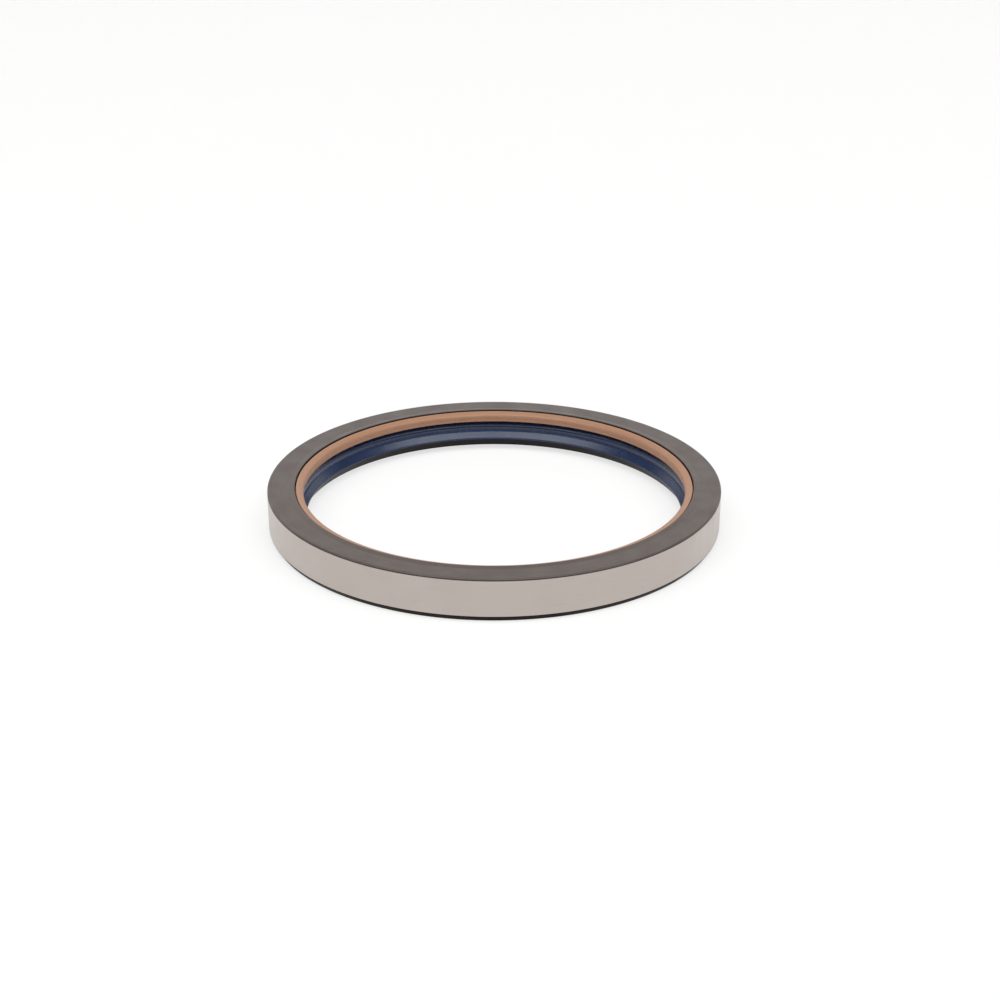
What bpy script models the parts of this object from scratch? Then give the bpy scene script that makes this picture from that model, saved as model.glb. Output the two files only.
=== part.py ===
# Oil seal: a combined rotary shaft seal with a steel case, a scraper lip and a spring-loaded sealing lip.
# It lies with its air side up, on the floor at Z = 0, with its axis on Z. All lengths are in metres.

import bmesh
import bpy
from math import acos, atan2, cos, pi, radians, sin, tan
from mathutils import Vector

# What the seal fits
SHAFT_DIAMETER = 0.142
RADIAL_SECTION = 0.014
SEAL_WIDTH = 0.016

# Gap between pieces that touch
CLEARANCE = 0.0003

# Outer case: a drawn ring whose lower end is drawn in round the inner ring
CASE_WALL = 0.0020
CASE_CORNER_RADIUS = 0.00055
CASE_INSIDE_BEND = 0.0010
FLANGE_SHAFT_GAP = 0.0038
FLANGE_EDGE_RISE = 0.00028
FLANGE_EDGE_WIDTH = 0.0024
FLANGE_EDGE_RADIUS = 0.0003
LEAD_IN_HEIGHT = 0.00185
LEAD_IN_DEPTH = 0.0012
LEAD_IN_BEND = 0.0006

# Dust lip: a scraper with a domed crown, a hollow throat below it, and its foot under the flange
DUST_LIP_SLOT = 0.0004
DUST_CROWN_DROP = 0.00027
DUST_CROWN_BACK_RADIUS = 0.00015
DUST_CROWN_SHOULDER_WIDTH = 0.0011
DUST_CROWN_SHOULDER_FALL = 0.0002
DUST_NOSE_SHAFT_GAP = 0.00025
DUST_NOSE_DROP = 0.0014
DUST_NOSE_RADIUS = 0.0009
DUST_THROAT_SHAFT_GAP = 0.0012
DUST_THROAT_DROP = 0.0030
DUST_THROAT_RADIUS = 0.0008
DUST_EDGE_SHAFT_GAP = 0.0009
DUST_EDGE_DROP = 0.00394
DUST_UNDERSIDE_WIDTH = 0.0013
DUST_UNDERSIDE_RISE = 0.0005
DUST_FOOT_THICKNESS = 0.0014

# Inner ring: traps the dust lip's foot and carries the sealing lip
RING_WALL = 0.0018
RING_INSIDE_BEND = 0.0006
RING_SHAFT_GAP = 0.0052
RING_EDGE_BREAK = 0.0003

# Sealing lip: a bonded foot, a flexing neck and a head with a contact edge in front of a spring groove
LIP_INTERFERENCE = 0.0005
LIP_EDGE_DROP = 0.0071
LIP_AIR_ANGLE = radians(40)
LIP_HEAD_LENGTH = 0.0035
LIP_END_SHAFT_GAP = 0.0019
LIP_END_RADIUS = 0.0003
LIP_FOOT_THICKNESS = 0.0010
HEEL_LEDGE = 0.0011
HEEL_DROP = 0.0022
HEEL_SHAFT_GAP = 0.0016
HEEL_RADIUS = 0.00035
HEEL_UNDERCUT = 0.0006
NECK_SHAFT_GAP = 0.0020
NECK_THICKNESS = 0.0013
NECK_FRONT_RADIUS = 0.0020
NECK_BACK_RADIUS = 0.0006

# Garter spring: a closed coil that lies in the groove behind the contact edge
SPRING_DIAMETER = 0.0027
SPRING_AIR_OFFSET = 0.0008
SPRING_WRAP = 0.0012
SPRING_NIB = 0.0008

# Facets
RING_SEGMENTS = 72
ARC_STEP = radians(30)
SMOOTH_ANGLE = radians(32)

# Places that follow from the sizes above
SHAFT_R = SHAFT_DIAMETER / 2
CASE_R = SHAFT_R + RADIAL_SECTION
CASE_INNER_R = CASE_R - CASE_WALL
FLANGE_R = SHAFT_R + FLANGE_SHAFT_GAP
FLANGE_UNDERSIDE = SEAL_WIDTH - CASE_WALL
LEAD_IN_ANGLE = atan2(LEAD_IN_DEPTH, LEAD_IN_HEIGHT)
RIM_OUTER_R = CASE_R - LEAD_IN_DEPTH
RIM_INNER_R = RIM_OUTER_R - CASE_WALL / cos(LEAD_IN_ANGLE)

DUST_TOP = SEAL_WIDTH - DUST_CROWN_DROP
DUST_BACK_R = FLANGE_R - DUST_LIP_SLOT
DUST_FOOT_R = CASE_INNER_R - CASE_INSIDE_BEND
DUST_FOOT_TOP = FLANGE_UNDERSIDE - CLEARANCE
DUST_FOOT_BOTTOM = DUST_FOOT_TOP - DUST_FOOT_THICKNESS

RING_TOP = DUST_FOOT_BOTTOM - CLEARANCE
RING_R = CASE_INNER_R - CLEARANCE
RING_LEG_R = RING_R - RING_WALL
RING_INNER_R = SHAFT_R + RING_SHAFT_GAP
RING_BOTTOM = (RING_R - RIM_INNER_R) / tan(LEAD_IN_ANGLE) + CLEARANCE / sin(LEAD_IN_ANGLE)

LIP_EDGE_R = SHAFT_R - LIP_INTERFERENCE
LIP_EDGE_Z = RING_TOP - LIP_EDGE_DROP
LIP_END_Z = LIP_EDGE_Z - LIP_HEAD_LENGTH
LIP_ROOT_R = RING_INNER_R - CLEARANCE
LIP_FOOT_R = RING_LEG_R - RING_INSIDE_BEND
LIP_FOOT_TOP = RING_TOP - RING_WALL - CLEARANCE
HEEL_Z = RING_TOP - HEEL_DROP
NECK_R = SHAFT_R + NECK_SHAFT_GAP
NECK_BACK_R = NECK_R + NECK_THICKNESS

GROOVE_RADIUS = SPRING_DIAMETER / 2 + CLEARANCE
SPRING_R = LIP_EDGE_R + SPRING_AIR_OFFSET * tan(LIP_AIR_ANGLE) + SPRING_WRAP + GROOVE_RADIUS
SPRING_Z = LIP_EDGE_Z + SPRING_AIR_OFFSET


def clear_scene():
    for obj in list(bpy.data.objects):
        bpy.data.objects.remove(obj, do_unlink=True)


def arc(centre, radius, start, sweep):
    """Points of an arc in the section plane, both ends included."""
    steps = max(2, round(abs(sweep) / ARC_STEP))
    turns = [start + sweep * step / steps for step in range(steps + 1)]
    return [Vector((centre[0] + radius * cos(turn), centre[1] + radius * sin(turn))) for turn in turns]


def rounded_corner(before, corner, after, radius):
    """The arc that touches both sides of a corner."""
    back = (before - corner).normalized()
    ahead = (after - corner).normalized()
    half_angle = back.angle(ahead) / 2
    centre = corner + (back + ahead).normalized() * (radius / sin(half_angle))
    reach = radius / tan(half_angle)
    first = corner + back * reach - centre
    last = corner + ahead * reach - centre
    start = atan2(first.y, first.x)
    sweep = (atan2(last.y, last.x) - start + pi) % (2 * pi) - pi
    return arc(centre, radius, start, sweep)


def section(corners):
    """An outline from corners given as radius from the axis, height, and rounding."""
    places = [Vector(corner[:2]) for corner in corners]
    outline = []
    for index, (_, _, rounding) in enumerate(corners):
        before, corner = places[index - 1], places[index]
        after = places[(index + 1) % len(places)]
        outline += rounded_corner(before, corner, after, rounding) if rounding else [corner]
    return outline


def revolve(name, outline, material):
    """Turns a closed outline about Z into one smooth-shaded ring."""
    sketch = bmesh.new()
    points = [sketch.verts.new((point.x, 0, point.y)) for point in outline]
    edges = [sketch.edges.new((points[index - 1], points[index])) for index in range(len(points))]
    bmesh.ops.spin(sketch, geom=points + edges, cent=(0, 0, 0), axis=(0, 0, 1), dvec=(0, 0, 0),
                   angle=2 * pi, steps=RING_SEGMENTS, use_merge=True, use_duplicate=False)
    bmesh.ops.recalc_face_normals(sketch, faces=sketch.faces)
    mesh = bpy.data.meshes.new(name)
    sketch.to_mesh(mesh)
    sketch.free()
    mesh.shade_smooth()
    mesh.set_sharp_from_angle(angle=SMOOTH_ANGLE)
    mesh.materials.append(material)
    ring = bpy.data.objects.new(name, mesh)
    bpy.context.collection.objects.link(ring)
    return ring


def linear(hex_colour):
    """An sRGB hex colour as the linear values that a shader takes."""
    channels = [int(hex_colour[place:place + 2], 16) / 255 for place in (0, 2, 4)]
    return [c / 12.92 if c <= 0.04045 else ((c + 0.055) / 1.055) ** 2.4 for c in channels] + [1]


def finish(name, hex_colour, roughness, metallic=0.0):
    material = bpy.data.materials.new(name)
    material.use_nodes = True
    shader = material.node_tree.nodes["Principled BSDF"]
    shader.inputs["Base Color"].default_value = linear(hex_colour)
    shader.inputs["Roughness"].default_value = roughness
    shader.inputs["Metallic"].default_value = metallic
    return material


def build_outer_case():
    """Flange with its inner edge turned up, ground wall and drawn-in lower end, bent from one strip."""
    wall_end_z = (CASE_INNER_R - RIM_INNER_R) / tan(LEAD_IN_ANGLE)
    rise_r = FLANGE_R + FLANGE_EDGE_WIDTH
    outline = section([
        (FLANGE_R, SEAL_WIDTH + FLANGE_EDGE_RISE, FLANGE_EDGE_RADIUS),
        (rise_r, SEAL_WIDTH, 0),
        (CASE_R, SEAL_WIDTH, CASE_CORNER_RADIUS),
        (CASE_R, LEAD_IN_HEIGHT, LEAD_IN_BEND),
        (RIM_OUTER_R, 0, 0),
        (RIM_INNER_R, 0, 0),
        (CASE_INNER_R, wall_end_z, 0),
        (CASE_INNER_R, FLANGE_UNDERSIDE, CASE_INSIDE_BEND),
        (rise_r, FLANGE_UNDERSIDE, 0),
        (FLANGE_R, FLANGE_UNDERSIDE + FLANGE_EDGE_RISE, 0),
    ])
    case = revolve("outer_case", outline, finish("phosphated steel", "74706C", 0.45, 0.6))
    case.data.materials.append(finish("ground steel", "BAB0A9", 0.32, 1.0))
    for face in case.data.polygons:
        outside = Vector(face.center[:2]).length > CASE_R - LEAD_IN_DEPTH / 2
        if outside and abs(face.normal.z) < sin(ARC_STEP / 4):
            face.material_index = 1


def build_dust_lip():
    """Scraper: a domed crown with a nose, a hollow throat down to its edge, and a flat trapped foot."""
    edge_r = SHAFT_R + DUST_EDGE_SHAFT_GAP
    edge_z = SEAL_WIDTH - DUST_EDGE_DROP
    outline = section([
        (SHAFT_R + DUST_NOSE_SHAFT_GAP, SEAL_WIDTH - DUST_NOSE_DROP, DUST_NOSE_RADIUS),
        (DUST_BACK_R - DUST_CROWN_SHOULDER_WIDTH, DUST_TOP - DUST_CROWN_SHOULDER_FALL, 0),
        (DUST_BACK_R, DUST_TOP, DUST_CROWN_BACK_RADIUS),
        (DUST_BACK_R, DUST_FOOT_TOP, 0),
        (DUST_FOOT_R, DUST_FOOT_TOP, 0),
        (DUST_FOOT_R, DUST_FOOT_BOTTOM, 0),
        (DUST_BACK_R, DUST_FOOT_BOTTOM, 0),
        (DUST_BACK_R - DUST_UNDERSIDE_WIDTH, DUST_FOOT_BOTTOM + DUST_UNDERSIDE_RISE, 0),
        (edge_r, edge_z, 0),
        (SHAFT_R + DUST_THROAT_SHAFT_GAP, SEAL_WIDTH - DUST_THROAT_DROP, DUST_THROAT_RADIUS),
    ])
    revolve("dust_lip", outline, finish("polyurethane", "A97A5C", 0.45))


def build_inner_ring():
    """L-section ring: its leg stands on the case's drawn-in end and its flange holds the dust lip's foot."""
    outline = section([
        (RING_INNER_R, RING_TOP, RING_EDGE_BREAK),
        (RING_R, RING_TOP, RING_INSIDE_BEND + RING_WALL),
        (RING_R, RING_BOTTOM, 0),
        (RING_LEG_R, RING_BOTTOM, RING_EDGE_BREAK),
        (RING_LEG_R, RING_TOP - RING_WALL, RING_INSIDE_BEND),
        (RING_INNER_R, RING_TOP - RING_WALL, 0),
    ])
    revolve("inner_ring", outline, finish("inner ring steel", "6A6764", 0.5, 0.7))


def spring_groove():
    """The groove's arc, from the neck's back round the spring to the nib that keeps it in."""
    mouth_top = acos((NECK_BACK_R - SPRING_R) / GROOVE_RADIUS)
    mouth_bottom = 2 * pi - acos(SPRING_NIB / GROOVE_RADIUS)
    points = arc((SPRING_R, SPRING_Z), GROOVE_RADIUS, mouth_top, mouth_bottom - mouth_top)
    return [(point.x, point.y, 0) for point in points]


def build_sealing_lip():
    """One moulding: bonded foot, neck, spring groove, head, contact edge and heel."""
    face_top_z = LIP_EDGE_Z + (NECK_R - LIP_EDGE_R) / tan(LIP_AIR_ANGLE)
    end_r = SHAFT_R + LIP_END_SHAFT_GAP
    heel_r = SHAFT_R + HEEL_SHAFT_GAP
    outline = section([
        (LIP_ROOT_R - HEEL_LEDGE, RING_TOP, 0),
        (LIP_ROOT_R, RING_TOP, 0),
        (LIP_ROOT_R, LIP_FOOT_TOP, 0),
        (LIP_FOOT_R, LIP_FOOT_TOP, 0),
        (LIP_FOOT_R, LIP_FOOT_TOP - LIP_FOOT_THICKNESS, 0),
        (NECK_BACK_R, LIP_FOOT_TOP - LIP_FOOT_THICKNESS, NECK_BACK_RADIUS),
        *spring_groove(),
        (SPRING_R + SPRING_NIB, LIP_END_Z, SPRING_NIB / 2),
        (end_r, LIP_END_Z, LIP_END_RADIUS),
        (LIP_EDGE_R, LIP_EDGE_Z, 0),
        (NECK_R, face_top_z, NECK_FRONT_RADIUS),
        (NECK_R, HEEL_Z - HEEL_UNDERCUT, 0),
        (heel_r, HEEL_Z, HEEL_RADIUS),
    ])
    revolve("sealing_lip", outline, finish("nitrile rubber", "31405C", 0.35))


def build_garter_spring():
    """The coil's outer form: a ring of round section that fills the groove."""
    outline = arc((SPRING_R, SPRING_Z), SPRING_DIAMETER / 2, 0, -2 * pi)[:-1]
    revolve("garter_spring", outline, finish("spring steel", "8C8A86", 0.3, 1.0))


def main():
    clear_scene()
    build_outer_case()
    build_dust_lip()
    build_inner_ring()
    build_sealing_lip()
    build_garter_spring()


main()
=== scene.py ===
# One oil seal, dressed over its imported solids: case, dust lip, inner ring, sealing lip and coil spring.

from math import cos, pi, radians

import bmesh
import bpy
from bpy.props import FloatProperty, FloatVectorProperty, IntProperty, PointerProperty
from mathutils import Matrix, Vector


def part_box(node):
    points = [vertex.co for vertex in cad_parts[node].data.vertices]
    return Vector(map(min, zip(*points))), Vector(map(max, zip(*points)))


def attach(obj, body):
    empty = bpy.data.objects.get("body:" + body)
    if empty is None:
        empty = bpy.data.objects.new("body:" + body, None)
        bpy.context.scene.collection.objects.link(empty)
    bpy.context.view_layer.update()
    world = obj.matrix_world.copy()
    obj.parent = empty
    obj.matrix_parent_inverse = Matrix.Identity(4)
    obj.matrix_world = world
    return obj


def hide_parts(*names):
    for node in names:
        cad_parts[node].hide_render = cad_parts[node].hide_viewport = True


bl_info = {
    "name": "Oil Seal",
    "version": (1, 0, 0),
    "blender": (4, 5, 0),
    "location": "3D View > Sidebar > Oil Seal",
    "description": "Dresses a rotary shaft oil seal and sets it on a pale studio floor",
    "category": "Add Mesh",
}

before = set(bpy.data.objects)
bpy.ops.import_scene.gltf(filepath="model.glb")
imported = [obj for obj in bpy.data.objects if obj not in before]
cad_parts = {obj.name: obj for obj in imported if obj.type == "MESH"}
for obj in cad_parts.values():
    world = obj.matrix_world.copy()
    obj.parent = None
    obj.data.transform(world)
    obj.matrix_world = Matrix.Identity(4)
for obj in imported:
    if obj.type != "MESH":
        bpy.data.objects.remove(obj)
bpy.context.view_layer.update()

# Lengths are in metres. Vertices of a ring that are closer than this are merged.
MERGE_DISTANCE = 0.000002
# A vertex or face this close to a radius counts as being at it.
RADIUS_TOLERANCE = 0.00001
# Edges that bend by less than this are shaded smooth.
SMOOTH_ANGLE = radians(28)

# A grey sheen is painted on the phosphate where a face looks up, standing in for the sheen that the light
# gives the top
# of the flange: not at all below the first, and fully above the second of these vertical parts of its
# normal.
SHEEN_PAINTED_FROM, SHEEN_PAINTED_TO = -0.1, 0.4
# A face of the case is a wall, and may be ground, where its normal's vertical part is less than this.
WALL_TILT = 0.1
# Painted shade goes on the lip's faces that look inward by more than the first of these parts of its normal,
# and down by more than the second.
SHADE_PAINTED_INWARD, SHADE_PAINTED_DOWN = 0.6, 0.3

WIRE_SIDES = 6
STEPS_PER_TURN = 12
# The wire is drawn this much smaller in radius than half the coil's pitch, so that its turns don't touch.
TURN_CLEARANCE = 0.00002
# The coil's two ends meet closer than this, and its turns don't.
END_DISTANCE = 0.00001

FLOOR_SIZE = 12
# The floor lies a hair below the seal.
FLOOR_DROP = 0.00005
WALL_RADIUS, WALL_HEIGHT, WALL_SIDES = 5.9, 1.2, 96
BACKDROP_DISTANCE, BACKDROP_WIDTH, BACKDROP_HEIGHT = 2.6, 7, 2.4
OVERHEAD_HEIGHT = 4
# The camera's frame, in millimetres.
FRAME_WIDTH = 36


def linear(hex_colour):
    """An sRGB hex colour as the linear values that a shader takes."""
    channels = [int(hex_colour[place:place + 2], 16) / 255 for place in (0, 2, 4)]
    return tuple(c / 12.92 if c <= 0.04045 else ((c + 0.055) / 1.055) ** 2.4 for c in channels)


class SealColours(bpy.types.PropertyGroup):
    phosphate: FloatVectorProperty(
        name="Phosphate", description="Oiled phosphate coat on the case and the inner ring",
        subtype="COLOR", min=0, max=1, default=linear("1C120E"))
    # A grey painted on faces that look up: it stands in for the sheen that the light gives the top of the
    # flange.
    sheen_painted: FloatVectorProperty(
        name="Sheen-painted phosphate", description="The same coat where it is rubbed on top of the flange",
        subtype="COLOR", min=0, max=1, default=linear("524742"))
    ground: FloatVectorProperty(
        name="Ground steel", description="Bare steel where the case is ground to size",
        subtype="COLOR", min=0, max=1, default=linear("BDB4AE"))
    polyurethane: FloatVectorProperty(
        name="Dust lip", description="Tan polyurethane of the dust lip",
        subtype="COLOR", min=0, max=1, default=linear("A97D61"))
    rubber: FloatVectorProperty(
        name="Sealing lip", description="Blue nitrile rubber",
        subtype="COLOR", min=0, max=1, default=linear("11284E"))
    # A near-black brown painted on the lip's faces that look down and inward: it stands in for the shade
    # under the lip.
    shade_painted: FloatVectorProperty(
        name="Shade-painted rubber", description="The same rubber, knife-trimmed below the contact edge",
        subtype="COLOR", min=0, max=1, default=linear("1C1817"))
    wire: FloatVectorProperty(
        name="Spring wire", description="Drawn steel wire of the garter spring",
        subtype="COLOR", min=0, max=1, default=linear("B4B0AA"))
    floor: FloatVectorProperty(
        name="Floor", description="Near-white studio floor",
        subtype="COLOR", min=0, max=1, default=linear("FBFAF9"))


class SealSizes(bpy.types.PropertyGroup):
    ring_segments: IntProperty(
        name="Ring segments", description="Steps that a ring's section is spun in",
        min=72, max=720, default=288)
    edge_softness: FloatProperty(
        name="Edge softness", description="How far each corner of a ring's section is rounded",
        subtype="DISTANCE", unit="LENGTH", min=0, max=0.0003, default=0.00008)
    contact_softness: FloatProperty(
        name="Contact edge softness", description="How far the sealing lip's contact edge is rounded",
        subtype="DISTANCE", unit="LENGTH", min=0, max=0.001, default=0.0005)
    wire_diameter: FloatProperty(
        name="Wire diameter", description="Wire of the garter spring, which is also the coil's pitch",
        subtype="DISTANCE", unit="LENGTH", min=0.0003, max=0.001, default=0.0006)
    ground_top: FloatProperty(
        name="Ground band top", description="Height at which the grinding ends below the flange's corner",
        subtype="DISTANCE", unit="LENGTH", default=0.01523)


class SealStage(bpy.types.PropertyGroup):
    camera_distance: FloatProperty(
        name="Camera distance", description="From the seal's axis, along the floor",
        subtype="DISTANCE", unit="LENGTH", default=0.61416)
    camera_height: FloatProperty(
        name="Camera height", description="Above the floor",
        subtype="DISTANCE", unit="LENGTH", default=0.27562)
    camera_pitch: FloatProperty(
        name="Camera pitch", description="How far the camera looks down",
        subtype="ANGLE", unit="ROTATION", default=0.41122)
    camera_yaw: FloatProperty(
        name="Camera yaw", description="How far the camera looks to the right",
        subtype="ANGLE", unit="ROTATION", default=0.00352)
    camera_roll: FloatProperty(
        name="Camera roll", description="How far the camera leans",
        subtype="ANGLE", unit="ROTATION", default=0.0011)
    lens: FloatProperty(
        name="Lens", description="Focal length for a 36 mm frame",
        unit="CAMERA", default=63.69)
    sky: FloatProperty(
        name="Surround", description="Strength of the even light from all sides",
        min=0, default=0.22)
    overhead: FloatProperty(
        name="Overhead light", description="Strength of the broad soft light from above",
        min=0, default=246)
    overhead_width: FloatProperty(
        name="Overhead width", description="Width of the broad light, which hangs 4 m above the floor",
        subtype="DISTANCE", unit="LENGTH", default=7.8)
    overhead_depth: FloatProperty(
        name="Overhead depth", description="Depth of the broad light",
        subtype="DISTANCE", unit="LENGTH", default=3.6)
    overhead_shift: FloatProperty(
        name="Overhead shift", description="How far the broad light hangs towards the camera",
        subtype="DISTANCE", unit="LENGTH", default=1.3)
    wall_glow: FloatProperty(
        name="Wall glow", description="Share of plain white in the walls",
        subtype="FACTOR", min=0, max=1, default=0.9)
    floor_glow: FloatProperty(
        name="Floor glow", description="Share of plain white in the floor, which lifts the shadow on it",
        subtype="FACTOR", min=0, max=1, default=0.7)


def deselect_all():
    if bpy.context.mode != "OBJECT":
        bpy.ops.object.mode_set(mode="OBJECT")
    bpy.ops.object.select_all(action="DESELECT")


def make_active(piece):
    deselect_all()
    piece.select_set(True)
    bpy.context.view_layer.objects.active = piece


def section_of(node, name):
    """A new object with the outline of one ring's section at +X, cut from a merged copy of its solid."""
    piece = bpy.data.objects.new(name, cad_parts[node].data.copy())
    bpy.context.collection.objects.link(piece)
    piece.data.materials.clear()
    make_active(piece)
    bpy.ops.object.mode_set(mode="EDIT")
    bpy.ops.mesh.select_all(action="SELECT")
    bpy.ops.mesh.remove_doubles(threshold=MERGE_DISTANCE)
    bpy.ops.mesh.select_all(action="SELECT")
    bpy.ops.mesh.bisect(plane_co=(0, 0, 0), plane_no=(0, 1, 0), clear_inner=True, clear_outer=True)
    mesh = bmesh.from_edit_mesh(piece.data)
    for vertex in mesh.verts:
        vertex.select = vertex.co.x < 0
    mesh.select_flush(True)
    bmesh.update_edit_mesh(piece.data)
    bpy.ops.mesh.delete(type="VERT")
    return piece


def spin_section(piece, sizes):
    """Softens the section's corners and spins it round the seal's axis into a closed ring."""
    bpy.ops.mesh.select_all(action="SELECT")
    bpy.ops.mesh.edge_face_add()
    bpy.ops.mesh.select_all(action="SELECT")
    bpy.ops.mesh.bevel(affect="VERTICES", offset=sizes.edge_softness, segments=2, clamp_overlap=True)
    bpy.ops.mesh.select_all(action="SELECT")
    bpy.ops.mesh.delete(type="ONLY_FACE")
    bpy.ops.mesh.select_all(action="SELECT")
    bpy.ops.mesh.spin(steps=sizes.ring_segments, angle=2 * pi, center=(0, 0, 0), axis=(0, 0, 1))
    bpy.ops.mesh.select_all(action="SELECT")
    bpy.ops.mesh.remove_doubles(threshold=MERGE_DISTANCE)
    bpy.ops.mesh.normals_make_consistent(inside=False)
    bpy.ops.object.mode_set(mode="OBJECT")
    bpy.ops.object.shade_smooth_by_angle(angle=SMOOTH_ANGLE)
    # Wide faces rule the normals, so that each stays flat up to the softened corners beside it.
    evening = piece.modifiers.new("Evening", "WEIGHTED_NORMAL")
    evening.weight = 100
    evening.keep_sharp = True
    bpy.ops.object.modifier_apply(modifier=evening.name)


def fine_ring(node, name, sizes):
    piece = section_of(node, name)
    spin_section(piece, sizes)
    return piece


def stand_for(piece, node):
    """The piece rides with the seal and hides the solid that it stands for."""
    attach(piece, "root")
    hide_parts(node)


def add_node(tree, kind, inputs=None, **settings):
    """Adds a node with its settings. An input is a value, or a socket of another node to link from."""
    added = tree.nodes.new(kind)
    for name, value in settings.items():
        setattr(added, name, value)
    for name, value in (inputs or {}).items():
        if isinstance(value, bpy.types.NodeSocket):
            tree.links.new(value, added.inputs[name])
        else:
            added.inputs[name].default_value = value
    return added


def new_material(name):
    material = bpy.data.materials.new(name)
    material.use_nodes = True
    material.node_tree.nodes.clear()
    return material, material.node_tree


def finish_material(tree, inputs):
    """Gives a material one surface shader with these inputs."""
    surface = add_node(tree, "ShaderNodeBsdfPrincipled", inputs)
    add_node(tree, "ShaderNodeOutputMaterial", {"Surface": surface.outputs["BSDF"]})


def object_place(tree):
    return add_node(tree, "ShaderNodeTexCoord").outputs["Object"]


def upward_part(tree):
    """The vertical part of the surface's normal: one on a level top, nought on a wall, minus one below."""
    normal = add_node(tree, "ShaderNodeNewGeometry").outputs["Normal"]
    return add_node(tree, "ShaderNodeSeparateXYZ", {0: normal}).outputs["Z"]


def noise(tree, place, scale, detail, roughness=0.5):
    """A cloudy pattern from nought to one. Its scale is the number of clouds to the metre."""
    return add_node(tree, "ShaderNodeTexNoise", {
        "Vector": place, "Scale": scale, "Detail": detail, "Roughness": roughness}).outputs["Fac"]


def ring_lines(tree, around, across, detail):
    """Streaks in rings round the seal's axis, without a seam: so many to the metre across the rings."""
    place = object_place(tree)
    level = add_node(tree, "ShaderNodeVectorMath", {0: place, 1: (1, 1, 0)}, operation="MULTIPLY")
    level = level.outputs["Vector"]
    radius = add_node(tree, "ShaderNodeVectorMath", {0: level}, operation="LENGTH").outputs["Value"]
    outward = add_node(tree, "ShaderNodeVectorMath", {0: level}, operation="NORMALIZE").outputs["Vector"]
    turned = add_node(tree, "ShaderNodeVectorMath", {0: outward, "Scale": around}, operation="SCALE")
    height = add_node(tree, "ShaderNodeSeparateXYZ", {0: place}).outputs["Z"]
    reach = add_node(tree, "ShaderNodeMath", {0: radius, 1: height}, operation="ADD")
    lines = add_node(tree, "ShaderNodeMath", {0: reach.outputs["Value"], 1: across}, operation="MULTIPLY")
    upward = add_node(tree, "ShaderNodeCombineXYZ", {"Z": lines.outputs["Value"]})
    wound = add_node(tree, "ShaderNodeVectorMath", {
        0: turned.outputs["Vector"], 1: upward.outputs["Vector"]}, operation="ADD")
    return noise(tree, wound.outputs["Vector"], 1, detail)


def blend_tones(tree, share, colour, darker, lighter):
    """The colour, varied from a darker to a lighter tone of itself by a pattern's share."""
    return add_node(tree, "ShaderNodeMixRGB", {
        "Fac": share, "Color1": (*[c * darker for c in colour], 1),
        "Color2": (*[min(1, c * lighter) for c in colour], 1)}).outputs["Color"]


def uneven(tree, pattern, low, high):
    """A value that goes from low to high with the middle range of a pattern."""
    return add_node(tree, "ShaderNodeMapRange", {
        "Value": pattern, "From Min": 0.3, "From Max": 0.7, "To Min": low, "To Max": high}).outputs["Result"]


def bumped(tree, height, strength, distance):
    return add_node(tree, "ShaderNodeBump", {
        "Height": height, "Strength": strength, "Distance": distance}).outputs["Normal"]


def phosphated_steel(colour, sheen_painted):
    """Manganese phosphate on drawn steel, oiled: black, with a grey sheen painted on the faces that look up.
    """
    material, tree = new_material("Oiled phosphate")
    # The crystals are about 0.01 mm; they are drawn at 0.3 mm so that the grain still shows.
    crystals = noise(tree, object_place(tree), 3300, 2, roughness=0.6)
    # Drawing lines run round the ring about 0.7 mm apart.
    drawn = ring_lines(tree, 9, 1400, 2)
    grain = add_node(tree, "ShaderNodeMath", {0: crystals, 1: drawn}, operation="ADD").outputs["Value"]
    grain = add_node(tree, "ShaderNodeMath", {0: grain, 1: 0.5}, operation="MULTIPLY").outputs["Value"]
    on_top = add_node(tree, "ShaderNodeMapRange", {
        "Value": upward_part(tree), "From Min": SHEEN_PAINTED_FROM, "From Max": SHEEN_PAINTED_TO}).outputs["Result"]
    # The coat's own black, with the grey sheen painted on where the face looks up.
    coat = add_node(tree, "ShaderNodeMixRGB", {
        "Fac": on_top, "Color1": blend_tones(tree, grain, colour, 0.8, 1.2),
        "Color2": blend_tones(tree, grain, sheen_painted, 0.5, 1.5)})
    # The same facing-up share sets how strongly the coat mirrors: little on walls and bends, more on top.
    sheen = add_node(tree, "ShaderNodeMapRange", {"Value": on_top, "To Min": 0.05, "To Max": 0.5})
    # The oil lies in patches of about 8 mm.
    oil = noise(tree, object_place(tree), 120, 3)
    finish_material(tree, {
        "Base Color": coat.outputs["Color"], "Roughness": uneven(tree, oil, 0.34, 0.46), "IOR": 1.5,
        "Specular IOR Level": sheen.outputs["Result"], "Normal": bumped(tree, grain, 0.2, 0.00004)})
    return material


def ground_steel(colour):
    """Carbon steel ground to size between wheels: bright satin, with fine lines round the ring."""
    material, tree = new_material("Ground steel")
    # The wheel's scratches are about 0.02 mm apart; they are drawn 0.25 mm apart so that they still show.
    scratches = ring_lines(tree, 14, 4000, 3)
    # Faint stains of about 10 mm where oil dried on the bare steel.
    stains = noise(tree, object_place(tree), 100, 3)
    finish_material(tree, {
        "Base Color": blend_tones(tree, scratches, colour, 0.92, 1.06), "Metallic": 1,
        "Roughness": uneven(tree, stains, 0.28, 0.36), "Normal": bumped(tree, scratches, 0.12, 0.00002)})
    return material


def polyurethane(colour):
    """Injection-moulded polyurethane: warm and satin, with faint flow marks round the ring."""
    material, tree = new_material("Polyurethane")
    # Flow marks about 1.5 mm apart.
    flow = ring_lines(tree, 12, 700, 3)
    # The mould's spark-eroded grain is about 0.05 mm; it is drawn at 0.3 mm.
    grain = noise(tree, object_place(tree), 3300, 1)
    finish_material(tree, {
        "Base Color": blend_tones(tree, flow, colour, 0.9, 1.1), "Roughness": 0.42, "IOR": 1.5,
        "Normal": bumped(tree, grain, 0.12, 0.00003)})
    return material


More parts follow.
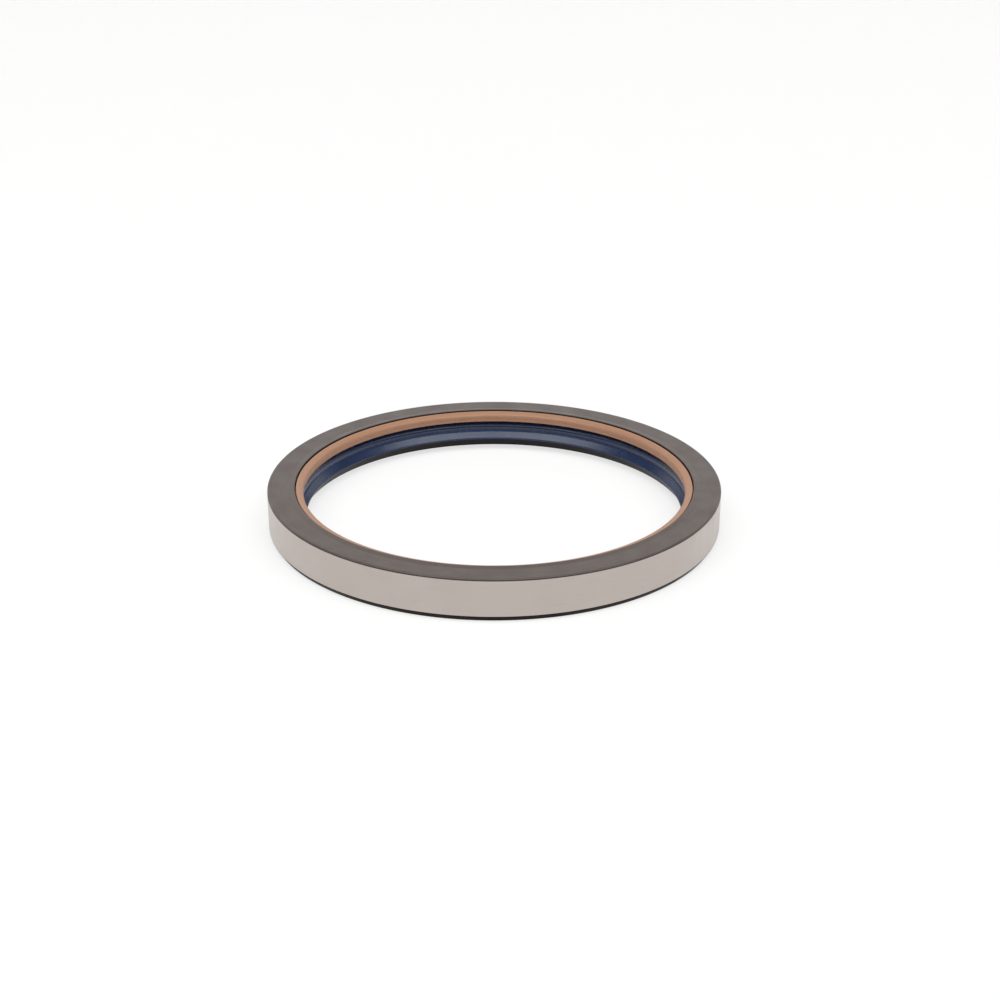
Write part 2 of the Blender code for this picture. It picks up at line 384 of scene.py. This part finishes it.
def nitrile_rubber(colour):
    """Compression-moulded nitrile rubber: deep blue with a soft sheen."""
    material, tree = new_material("Nitrile rubber")
    # Bloom clouds the rubber in patches of about 6 mm.
    bloom = noise(tree, object_place(tree), 160, 3)
    # The mould's turning marks are about 0.05 mm apart; they are drawn 0.4 mm apart.
    turned = ring_lines(tree, 10, 2500, 2)
    finish_material(tree, {
        "Base Color": blend_tones(tree, bloom, colour, 0.8, 1.2),
        "Roughness": uneven(tree, bloom, 0.24, 0.32), "IOR": 1.6, "Specular IOR Level": 0.47,
        "Normal": bumped(tree, turned, 0.1, 0.00003)})
    return material


def shade_painted_rubber(colour):
    """The lip's faces below the contact edge that look down and inward: matt, and painted near black as
    shade.
    """
    material, tree = new_material("Shade-painted nitrile rubber")
    # The knife leaves lines about 0.5 mm apart.
    cuts = ring_lines(tree, 10, 2000, 2)
    finish_material(tree, {
        "Base Color": blend_tones(tree, cuts, colour, 0.8, 1.2), "Roughness": 0.4, "IOR": 1.6,
        "Specular IOR Level": 0.05, "Normal": bumped(tree, cuts, 0.15, 0.00003)})
    return material


def spring_wire(colour):
    """Patented drawn spring wire: bright steel under a film of oil."""
    material, tree = new_material("Drawn spring wire")
    # The oil film is uneven over about 3 mm.
    film = noise(tree, object_place(tree), 330, 2)
    finish_material(tree, {
        "Base Color": blend_tones(tree, film, colour, 0.85, 1.05), "Metallic": 1,
        "Roughness": uneven(tree, film, 0.22, 0.36)})
    return material


def seen_or_mirrored(tree):
    """One for rays from the camera or off a mirror or through glass, and nought for all the rest."""
    rays = add_node(tree, "ShaderNodeLightPath").outputs
    either = add_node(tree, "ShaderNodeMath", {
        0: rays["Is Camera Ray"], 1: rays["Is Glossy Ray"]}, operation="MAXIMUM")
    any_of_three = add_node(tree, "ShaderNodeMath", {
        0: either.outputs["Value"], 1: rays["Is Transmission Ray"]}, operation="MAXIMUM")
    return any_of_three.outputs["Value"]


def studio_floor(colour, glow):
    """Matt white paper, with a share of plain white so that it reads as white and keeps a light shadow."""
    material, tree = new_material("White paper")
    paper = add_node(tree, "ShaderNodeBsdfPrincipled", {
        "Base Color": (*colour, 1), "Roughness": 0.9, "Specular IOR Level": 0.1})
    white = add_node(tree, "ShaderNodeEmission", {"Color": (1, 1, 1, 1), "Strength": 1})
    share = add_node(tree, "ShaderNodeMath", {0: seen_or_mirrored(tree), 1: glow}, operation="MULTIPLY")
    floor = add_node(tree, "ShaderNodeMixShader", {
        0: share.outputs["Value"], 1: paper.outputs["BSDF"], 2: white.outputs["Emission"]})
    add_node(tree, "ShaderNodeOutputMaterial", {"Surface": floor.outputs["Shader"]})
    return material


class OILSEAL_OT_outer_case(bpy.types.Operator):
    """Dress the steel case: phosphated all over but for its ground outside"""
    bl_idname = "oilseal.outer_case"
    bl_label = "Outer case"

    def execute(self, context):
        sizes, colours = context.scene.oil_seal_sizes, context.scene.oil_seal_colours
        case = fine_ring("outer_case", "case_ring", sizes)
        bpy.ops.object.mode_set(mode="EDIT")
        bpy.ops.mesh.select_all(action="SELECT")
        bpy.ops.mesh.bisect(plane_co=(0, 0, sizes.ground_top), plane_no=(0, 0, 1))
        bpy.ops.object.mode_set(mode="OBJECT")
        case.data.materials.append(phosphated_steel(colours.phosphate, colours.sheen_painted))
        case.data.materials.append(ground_steel(colours.ground))
        wall_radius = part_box("outer_case")[1].x * cos(pi / sizes.ring_segments) - RADIUS_TOLERANCE
        for face in case.data.polygons:
            on_wall = Vector(face.center[:2]).length > wall_radius and abs(face.normal.z) < WALL_TILT
            face.material_index = int(on_wall and face.center.z < sizes.ground_top)
        stand_for(case, "outer_case")
        return {"FINISHED"}


class OILSEAL_OT_dust_lip(bpy.types.Operator):
    """Dress the tan scraper that shows inside the flange"""
    bl_idname = "oilseal.dust_lip"
    bl_label = "Dust lip"

    def execute(self, context):
        scraper = fine_ring("dust_lip", "scraper", context.scene.oil_seal_sizes)
        scraper.data.materials.append(polyurethane(context.scene.oil_seal_colours.polyurethane))
        stand_for(scraper, "dust_lip")
        return {"FINISHED"}


class OILSEAL_OT_inner_ring(bpy.types.Operator):
    """Dress the pressed-in ring that carries the sealing lip"""
    bl_idname = "oilseal.inner_ring"
    bl_label = "Inner ring"

    def execute(self, context):
        colours = context.scene.oil_seal_colours
        carrier = fine_ring("inner_ring", "carrier_ring", context.scene.oil_seal_sizes)
        carrier.data.materials.append(phosphated_steel(colours.phosphate, colours.sheen_painted))
        stand_for(carrier, "inner_ring")
        return {"FINISHED"}


class OILSEAL_OT_sealing_lip(bpy.types.Operator):
    """Dress the blue lip with its contact edge and spring groove"""
    bl_idname = "oilseal.sealing_lip"
    bl_label = "Sealing lip"

    def execute(self, context):
        sizes, colours = context.scene.oil_seal_sizes, context.scene.oil_seal_colours
        lip = section_of("sealing_lip", "rubber_lip")
        self.round_contact_edge(lip, sizes.contact_softness)
        spin_section(lip, sizes)
        lip.data.materials.append(nitrile_rubber(colours.rubber))
        lip.data.materials.append(shade_painted_rubber(colours.shade_painted))
        # Faces that look down and inward take the painted shade.
        for face in lip.data.polygons:
            inward = -Vector(face.normal[:2]).dot(Vector(face.center[:2]).normalized())
            face.material_index = int(inward > SHADE_PAINTED_INWARD and face.normal.z < -SHADE_PAINTED_DOWN)
        stand_for(lip, "sealing_lip")
        return {"FINISHED"}

    def round_contact_edge(self, lip, softness):
        """Rounds the section's innermost corner, where the moulded lip meets the shaft."""
        mesh = bmesh.from_edit_mesh(lip.data)
        innermost = min(vertex.co.x for vertex in mesh.verts)
        for vertex in mesh.verts:
            vertex.select = vertex.co.x < innermost + RADIUS_TOLERANCE
        mesh.select_flush(True)
        bmesh.update_edit_mesh(lip.data)
        bpy.ops.mesh.bevel(affect="VERTICES", offset=softness, segments=4, clamp_overlap=True)


class OILSEAL_OT_garter_spring(bpy.types.Operator):
    """Wind the closed coil spring that lies in the lip's groove"""
    bl_idname = "oilseal.garter_spring"
    bl_label = "Garter spring"

    def execute(self, context):
        low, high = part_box("garter_spring")
        coil_radius = (high.z - low.z) / 2
        ring_radius = high.x - coil_radius
        coil = self.wind(coil_radius, ring_radius, context.scene.oil_seal_sizes.wire_diameter)
        self.bend_round(coil, ring_radius)
        self.centre(coil, (low.z + high.z) / 2)
        self.join_ends()
        coil.data.materials.append(spring_wire(context.scene.oil_seal_colours.wire))
        stand_for(coil, "garter_spring")
        return {"FINISHED"}

    def wind(self, coil_radius, ring_radius, wire):
        """A straight close-wound coil along X, as long as the ring's centre line."""
        turns = round(2 * pi * ring_radius / wire)
        deselect_all()
        bpy.ops.mesh.primitive_circle_add(
            vertices=WIRE_SIDES, radius=wire / 2 - TURN_CLEARANCE,
            location=(coil_radius - wire / 2, 0, 0), rotation=(pi / 2, 0, 0))
        coil = bpy.context.active_object
        coil.name = "coil_spring"
        bpy.ops.object.transform_apply(location=True, rotation=True, scale=True)
        winding = coil.modifiers.new("Winding", "SCREW")
        winding.axis = "Z"
        winding.steps = winding.render_steps = STEPS_PER_TURN
        winding.iterations = turns
        winding.screw_offset = 2 * pi * ring_radius / turns
        winding.use_smooth_shade = True
        bpy.ops.object.modifier_apply(modifier=winding.name)
        coil.rotation_euler = (0, pi / 2, 0)
        bpy.ops.object.transform_apply(location=False, rotation=True, scale=False)
        return coil

    def bend_round(self, coil, ring_radius):
        """Bends the coil until its two ends meet. The modifier spreads its angle over the mesh's length."""
        places = [vertex.co.x for vertex in coil.data.vertices]
        closing = coil.modifiers.new("Closing", "SIMPLE_DEFORM")
        closing.deform_method = "BEND"
        closing.deform_axis = "Z"
        closing.angle = (max(places) - min(places)) / ring_radius
        bpy.ops.object.modifier_apply(modifier=closing.name)

    def centre(self, coil, height):
        """Moves the ring's middle onto the seal's axis at this height."""
        corners = [vertex.co for vertex in coil.data.vertices]
        middle = Vector([
            (max(corner[axis] for corner in corners) + min(corner[axis] for corner in corners)) / 2
            for axis in range(3)])
        coil.location = Vector((0, 0, height)) - middle
        bpy.ops.object.transform_apply(location=True, rotation=False, scale=False)

    def join_ends(self):
        """Joins the active coil's first turn to its last."""
        bpy.ops.object.mode_set(mode="EDIT")
        bpy.ops.mesh.select_all(action="SELECT")
        bpy.ops.mesh.remove_doubles(threshold=END_DISTANCE)
        bpy.ops.mesh.normals_make_consistent(inside=False)
        bpy.ops.object.mode_set(mode="OBJECT")


class OILSEAL_OT_stage(bpy.types.Operator):
    """Set the floor, the light and the camera"""
    bl_idname = "oilseal.stage"
    bl_label = "Stage"

    def execute(self, context):
        stage = context.scene.oil_seal_stage
        self.lay_floor(context.scene.oil_seal_colours.floor, stage.floor_glow)
        self.stand_walls(context.scene.oil_seal_colours.floor, stage.wall_glow)
        self.light_seal(context.scene, stage)
        self.place_camera(context.scene, stage)
        context.scene.view_settings.view_transform = "Standard"
        return {"FINISHED"}

    def lay_floor(self, colour, glow):
        deselect_all()
        bpy.ops.mesh.primitive_plane_add(size=FLOOR_SIZE, location=(0, 0, -FLOOR_DROP))
        floor = bpy.context.active_object
        floor.name = "floor"
        bpy.ops.object.transform_apply(location=True, rotation=True, scale=True)
        floor.data.materials.append(studio_floor(colour, glow))

    def light_seal(self, scene, stage):
        """A dim even room, and one broad soft light above the seal and a little in front."""
        world = bpy.data.worlds.new("Room")
        scene.world = world
        world.use_nodes = True
        tree = world.node_tree
        tree.nodes.clear()
        room = add_node(tree, "ShaderNodeBackground", {"Color": (1, 1, 1, 1), "Strength": stage.sky})
        add_node(tree, "ShaderNodeOutputWorld", {"Surface": room.outputs["Background"]})
        bpy.ops.object.light_add(type="AREA", location=(0, -stage.overhead_shift, OVERHEAD_HEIGHT))
        overhead = bpy.context.active_object
        overhead.name = "overhead_light"
        overhead.data.shape = "RECTANGLE"
        overhead.data.size, overhead.data.size_y = stage.overhead_width, stage.overhead_depth
        overhead.data.energy = stage.overhead

    def stand_walls(self, colour, glow):
        """A low wall round the floor and a taller board behind the seal, which the coat's sheen mirrors."""
        deselect_all()
        bpy.ops.mesh.primitive_cylinder_add(
            vertices=WALL_SIDES, radius=WALL_RADIUS, depth=WALL_HEIGHT, end_fill_type="NOTHING",
            location=(0, 0, WALL_HEIGHT / 2))
        wall = bpy.context.active_object
        wall.name = "low_wall"
        deselect_all()
        bpy.ops.mesh.primitive_plane_add(
            size=1, location=(0, BACKDROP_DISTANCE, BACKDROP_HEIGHT / 2), rotation=(pi / 2, 0, 0))
        board = bpy.context.active_object
        board.name = "backdrop"
        board.scale = (BACKDROP_WIDTH, BACKDROP_HEIGHT, 1)
        for screen in (wall, board):
            make_active(screen)
            bpy.ops.object.transform_apply(location=True, rotation=True, scale=True)
            screen.data.materials.append(studio_floor(colour, glow))

    def place_camera(self, scene, stage):
        bpy.ops.object.camera_add()
        camera = bpy.context.active_object
        camera.name = "photo_camera"
        camera.data.lens = stage.lens
        camera.data.sensor_width = FRAME_WIDTH
        turn = (Matrix.Rotation(-stage.camera_yaw, 4, "Z")
                @ Matrix.Rotation(pi / 2 - stage.camera_pitch, 4, "X")
                @ Matrix.Rotation(stage.camera_roll, 4, "Z"))
        camera.matrix_world = Matrix.Translation((0, -stage.camera_distance, stage.camera_height)) @ turn
        scene.camera = camera


class OILSEAL_PT_panel(bpy.types.Panel):
    """Lists the seal's pieces, sizes and colours"""
    bl_idname = "OILSEAL_PT_panel"
    bl_label = "Oil Seal"
    bl_space_type = "VIEW_3D"
    bl_region_type = "UI"
    bl_category = "Oil Seal"

    def draw(self, context):
        for group_name in GROUPS:
            group = getattr(context.scene, group_name)
            for name in group.bl_rna.properties.keys():
                if name not in ("rna_type", "name"):
                    self.layout.prop(group, name)
        for operator in OPERATORS:
            self.layout.operator(operator.bl_idname)


OPERATORS = (
    OILSEAL_OT_outer_case,
    OILSEAL_OT_dust_lip,
    OILSEAL_OT_inner_ring,
    OILSEAL_OT_sealing_lip,
    OILSEAL_OT_garter_spring,
    OILSEAL_OT_stage,
)
GROUPS = {"oil_seal_sizes": SealSizes, "oil_seal_colours": SealColours, "oil_seal_stage": SealStage}


def register():
    for registered in (*GROUPS.values(), *OPERATORS, OILSEAL_PT_panel):
        bpy.utils.register_class(registered)
    for name, group in GROUPS.items():
        setattr(bpy.types.Scene, name, PointerProperty(type=group))


def unregister():
    for name in GROUPS:
        delattr(bpy.types.Scene, name)
    for registered in reversed((*GROUPS.values(), *OPERATORS, OILSEAL_PT_panel)):
        bpy.utils.unregister_class(registered)


def main():
    register()
    bpy.ops.oilseal.outer_case()
    bpy.ops.oilseal.dust_lip()
    bpy.ops.oilseal.inner_ring()
    bpy.ops.oilseal.sealing_lip()
    bpy.ops.oilseal.garter_spring()
    bpy.ops.oilseal.stage()


if __name__ == "__main__":
    main()
